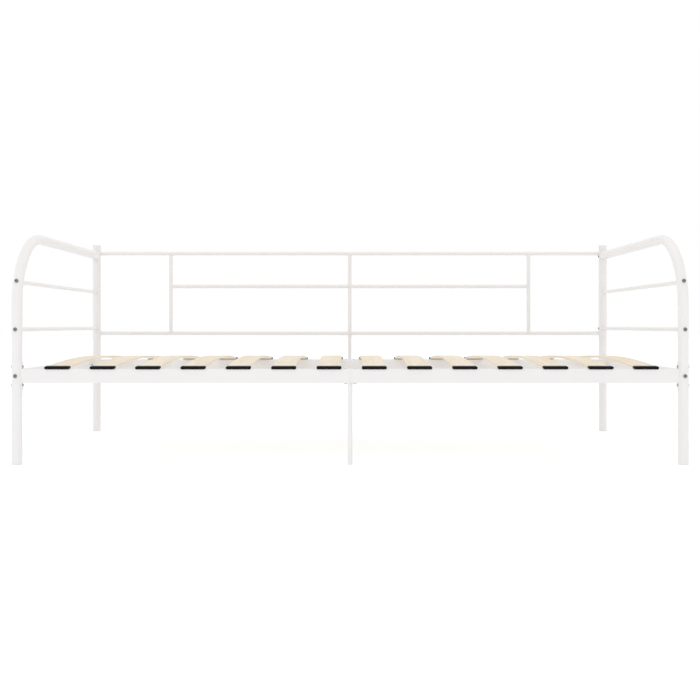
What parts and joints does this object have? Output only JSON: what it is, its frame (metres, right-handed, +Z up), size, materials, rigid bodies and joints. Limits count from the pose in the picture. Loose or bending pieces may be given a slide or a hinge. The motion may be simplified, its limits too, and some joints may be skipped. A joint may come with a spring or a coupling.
{
  "type": "daybed frame",
  "caption": "Tubular metal daybed frame with arched ends, a rod back panel and crowned wooden slats in plastic end caps.",
  "frame": {"origin": "on the floor under the middle of the frame", "axes": "+X to the right along the bed, +Y towards the back panel, +Z up"},
  "size_m": [2.0785, 0.9812, 0.7485],
  "materials": {
    "white_powder_coat": "smooth semi-gloss powder coat",
    "birch_plywood": "thin clear lacquer over bent birch plywood",
    "black_plastic": "fine moulded texture",
    "white_plastic": "satin moulded",
    "zinc_steel": "bright zinc plate",
    "nickel_steel": "satin nickel plate",
    "dark_zinc_steel": "dark nickel plate"
  },
  "bodies": {
    "root": {"arm_plugs": "white_plastic", "back_centre_leg": "white_powder_coat", "back_left_end_plate": "white_powder_coat", "back_left_rail": "white_powder_coat", "back_rail_connector": "white_powder_coat", "back_right_end_plate": "white_powder_coat", "back_right_rail": "white_powder_coat", "bend_rung_inserts": "zinc_steel", "centre_leg_plugs": "white_plastic", "end_plate_bolts": "nickel_steel", "end_rail_nut_blocks": "zinc_steel", "foot_plugs": "white_plastic", "front_centre_leg": "white_powder_coat", "front_left_rail": "white_powder_coat", "front_left_saddle": "white_powder_coat", "front_rail_connector": "white_powder_coat", "front_right_rail": "white_powder_coat", "front_right_saddle": "white_powder_coat", "left_arch_tube": "white_powder_coat", "left_back_post": "white_powder_coat", "left_end_rail": "white_powder_coat", "left_lower_rung": "white_powder_coat", "left_upper_rung": "white_powder_coat", "leg_joint_bolts": "nickel_steel", "panel_centre_upright": "white_powder_coat", "panel_left_low_rod": "white_powder_coat", "panel_left_middle_rod": "white_powder_coat", "panel_left_upright": "white_powder_coat", "panel_right_low_rod": "white_powder_coat", "panel_right_middle_rod": "white_powder_coat", "panel_right_upright": "white_powder_coat", "panel_top_rod": "white_powder_coat", "post_caps": "white_plastic", "post_lock_screws": "dark_zinc_steel", "rail_joint_bolts": "zinc_steel", "rail_joint_nuts": "zinc_steel", "right_arch_tube": "white_powder_coat", "right_back_post": "white_powder_coat", "right_end_rail": "white_powder_coat", "right_lower_rung": "white_powder_coat", "right_upper_rung": "white_powder_coat", "rung_bolts": "dark_zinc_steel", "rung_inserts": "zinc_steel", "rung_washers": "zinc_steel", "slat_01": "birch_plywood", "slat_02": "birch_plywood", "slat_03": "birch_plywood", "slat_04": "birch_plywood", "slat_05": "birch_plywood", "slat_06": "birch_plywood", "slat_07": "birch_plywood", "slat_08": "birch_plywood", "slat_09": "birch_plywood", "slat_10": "birch_plywood", "slat_11": "birch_plywood", "slat_12": "birch_plywood", "slat_13": "birch_plywood", "slat_14": "birch_plywood", "slat_caps": "black_plastic", "sleeve_nuts": "zinc_steel"}
  },
  "joints": []
}
